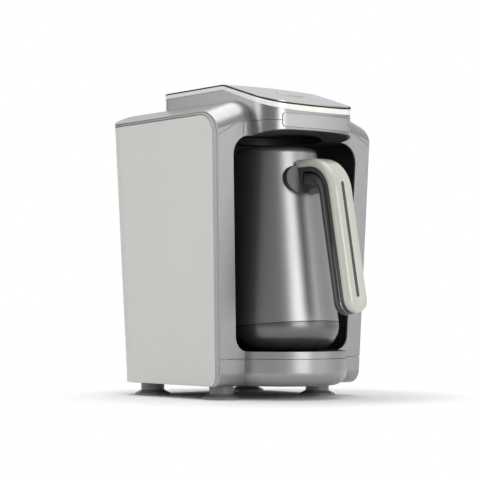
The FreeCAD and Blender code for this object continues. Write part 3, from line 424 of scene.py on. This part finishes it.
# %% [markdown]
# ## Solder points of the power board
# The legs of the components come through the board and are soldered on its far side, which looks at the
# liner. They stand on a grid of 5.08 mm, but not at every crossing, so a random share of the grid's
# points gets a small, flattened drop. The seed is fixed, so that the result is the same each time.

# %% The grid of the board
solder_pitch = 5.08 * mm
border = 6 * mm
board_low, board_high = [Vector(corner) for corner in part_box("power_board")]
columns = int((board_high.x - board_low.x - 2 * border) / solder_pitch)
rows = int((board_high.z - board_low.z - 2 * border) / solder_pitch)
solder_places = []
for i in range(columns + 1):
    for j in range(rows + 1):
        solder_places.append((board_low.x + border + i * solder_pitch, board_low.y,
                              board_low.z + border + j * solder_pitch))
print("grid points", len(solder_places))

# %% The solder tree and its bake
flatness = (1.0, 0.6, 1.0)
drop_segments = 10
drop_rings = 6
tree, keys, given = node_tree("solder_points", {
    "Radius": "NodeSocketFloat", "Share": "NodeSocketFloat", "Seed": "NodeSocketInt"})
chosen = add(tree, "FunctionNodeRandomValue", {"Seed": given["Seed"], "Probability": given["Share"]},
             data_type="BOOLEAN")
drop = add(tree, "GeometryNodeMeshUVSphere", {"Radius": given["Radius"]}, Segments=drop_segments,
           Rings=drop_rings)
drops = add(tree, "GeometryNodeInstanceOnPoints", {"Points": given["Geometry"],
                                                   "Instance": drop.outputs["Mesh"],
                                                   "Selection": chosen.outputs[3]}, Scale=flatness)
finish_tree(tree, drops.outputs["Instances"], given["Material"])
solder = new_object("solder_points", solder_places)
bake(solder, tree, keys, {"Radius": 0.9 * mm, "Share": 0.4, "Seed": 7, "Material": looks["solder_tin"]})
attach(solder, "appliance")

# %% [markdown]
# ## The floor
# The machine stands on a plain, nearly white floor that runs out to pure white a hand's width away from
# it. The floor could be made white with more light, but that would wash out the machine as well. Here
# the camera sees a white glow in the distance, while all other rays meet the plain matt floor, which
# keeps the soft shadow under the feet.

# %% Floor
floor_half = 6.0
shadow_reach = 0.13
white_from = 0.2
floor_paint, tree = new_material("studio_floor_paint")
spot = add(tree, "ShaderNodeTexCoord").outputs["Object"]
distance = add(tree, "ShaderNodeVectorMath", {0: spot}, operation="LENGTH").outputs["Value"]
fade = add(tree, "ShaderNodeMapRange", {"Value": distance}, From_Min=shadow_reach, From_Max=white_from,
           interpolation_type="SMOOTHSTEP")
path = add(tree, "ShaderNodeLightPath")
white_far = add(tree, "ShaderNodeMath", {0: fade.outputs[0], 1: path.outputs["Is Camera Ray"]},
                operation="MULTIPLY")
matt = add(tree, "ShaderNodeBsdfDiffuse", Color=srgb("fcfcfc"))
glow = add(tree, "ShaderNodeEmission", Color=srgb("ffffff"), Strength=1.0)
seen = add(tree, "ShaderNodeMixShader", {0: white_far.outputs[0], 1: matt.outputs[0], 2: glow.outputs[0]})
add(tree, "ShaderNodeOutputMaterial", {"Surface": seen.outputs[0]})
floor_corners = [(x * floor_half, y * floor_half, 0) for x, y in ((-1, -1), (1, -1), (1, 1), (-1, 1))]
floor = new_object("floor", floor_corners, [(0, 1, 2, 3)])
floor.data.materials.append(floor_paint)
print("white from", white_from, "m")

# %% [markdown]
# ## The room around
# Metal is only as good as what it mirrors. A room of one brightness would make the lacquer look like
# grey paint, so reflections see a room that brightens towards the upper right and the back. Plain
# surfaces get an even, weaker fill, and the background itself is white.

# %% World
studio_fill = 0.3
studio_dark = 0.2
studio_bright = 0.8
bright_side = (0.75, 0.55, 0.36)
dark_end = -0.7
bright_end = 0.9
world = bpy.data.worlds.new("studio_world")
bpy.context.scene.world = world
world.use_nodes = True
tree = world.node_tree
tree.nodes.clear()
path = add(tree, "ShaderNodeLightPath")
towards = add(tree, "ShaderNodeTexCoord").outputs["Generated"]
side = add(tree, "ShaderNodeVectorMath", {0: towards}, operation="DOT_PRODUCT")
side.inputs[1].default_value = bright_side
level = add(tree, "ShaderNodeMapRange", {"Value": side.outputs["Value"]}, From_Min=dark_end,
            From_Max=bright_end, To_Min=studio_dark, To_Max=studio_bright)
glossy = add(tree, "ShaderNodeMix", {0: path.outputs["Is Glossy Ray"], 3: level.outputs[0]},
             data_type="FLOAT")
glossy.inputs[2].default_value = studio_fill
soft = add(tree, "ShaderNodeBackground", {"Strength": glossy.outputs[0]}, Color=srgb("ffffff"))
white = add(tree, "ShaderNodeBackground", Color=srgb("ffffff"), Strength=1.0)
seen = add(tree, "ShaderNodeMixShader", {0: path.outputs["Is Camera Ray"], 1: soft.outputs[0],
                                         2: white.outputs[0]})
add(tree, "ShaderNodeOutputWorld", {"Surface": seen.outputs[0]})
print("reflected room from", studio_dark, "to", studio_bright)

# %% [markdown]
# ## The lamps
# Large soft boxes give wide highlights with soft edges. The front one stands a little to the left, so
# that its reflection runs down the pot beside the handle. The right one lifts the front faces, the left
# one stands behind the machine's shoulder and lights only the side panel, and the top one is wide
# enough to keep the shadow soft.

# %% Soft boxes
def softbox(name, place, aim, width, height, power):
    """Rectangular area light turned from its place towards its aim."""
    data = bpy.data.lights.new(name, "AREA")
    data.shape = "RECTANGLE"
    data.size = width
    data.size_y = height
    data.energy = power
    made = bpy.data.objects.new(name, data)
    bpy.context.scene.collection.objects.link(made)
    made.location = place
    made.rotation_euler = (Vector(aim) - Vector(place)).to_track_quat("-Z", "Y").to_euler()
    print(name, power, "W")


middle = (0, 0, 0.14)
foot = (0, 0, 0)
softbox("key_front", place=(-0.2, -1.7, 0.45), aim=middle, width=0.9, height=1.0, power=12)
softbox("key_right", place=(0.95, -1.45, 0.45), aim=middle, width=0.9, height=1.0, power=3.2)
softbox("side_left", place=(-1.6, 0.9, 0.6), aim=middle, width=1.2, height=1.2, power=9)
softbox("top", place=(0.0, 0.1, 1.5), aim=foot, width=1.6, height=1.6, power=17)

# %% [markdown]
# ## The camera
# A long lens from a metre and a half away, held low and tilted slightly up, gives the view of a machine
# on a table seen from its front left. The focal length is known in picture points, and the
# sensor's width turns it into millimetres.

# %% Camera
focal_length = 1667.7
picture_width = 480
sensor_width = 36.0
tilt_up = 2.435
turn = -38.72
camera_data = bpy.data.cameras.new("camera")
camera_data.sensor_width = sensor_width
camera_data.lens = focal_length * sensor_width / picture_width
camera_data.clip_end = 20
camera = bpy.data.objects.new("camera", camera_data)
bpy.context.scene.collection.objects.link(camera)
camera.location = (-0.93935, -1.13730, 0.07542)
camera.rotation_euler = (math.radians(90 + tilt_up), 0, math.radians(turn))
bpy.context.scene.camera = camera
bpy.context.scene.view_settings.view_transform = "Standard"
bpy.context.scene.view_settings.look = "None"
print("lens", round(camera_data.lens, 1), "mm")
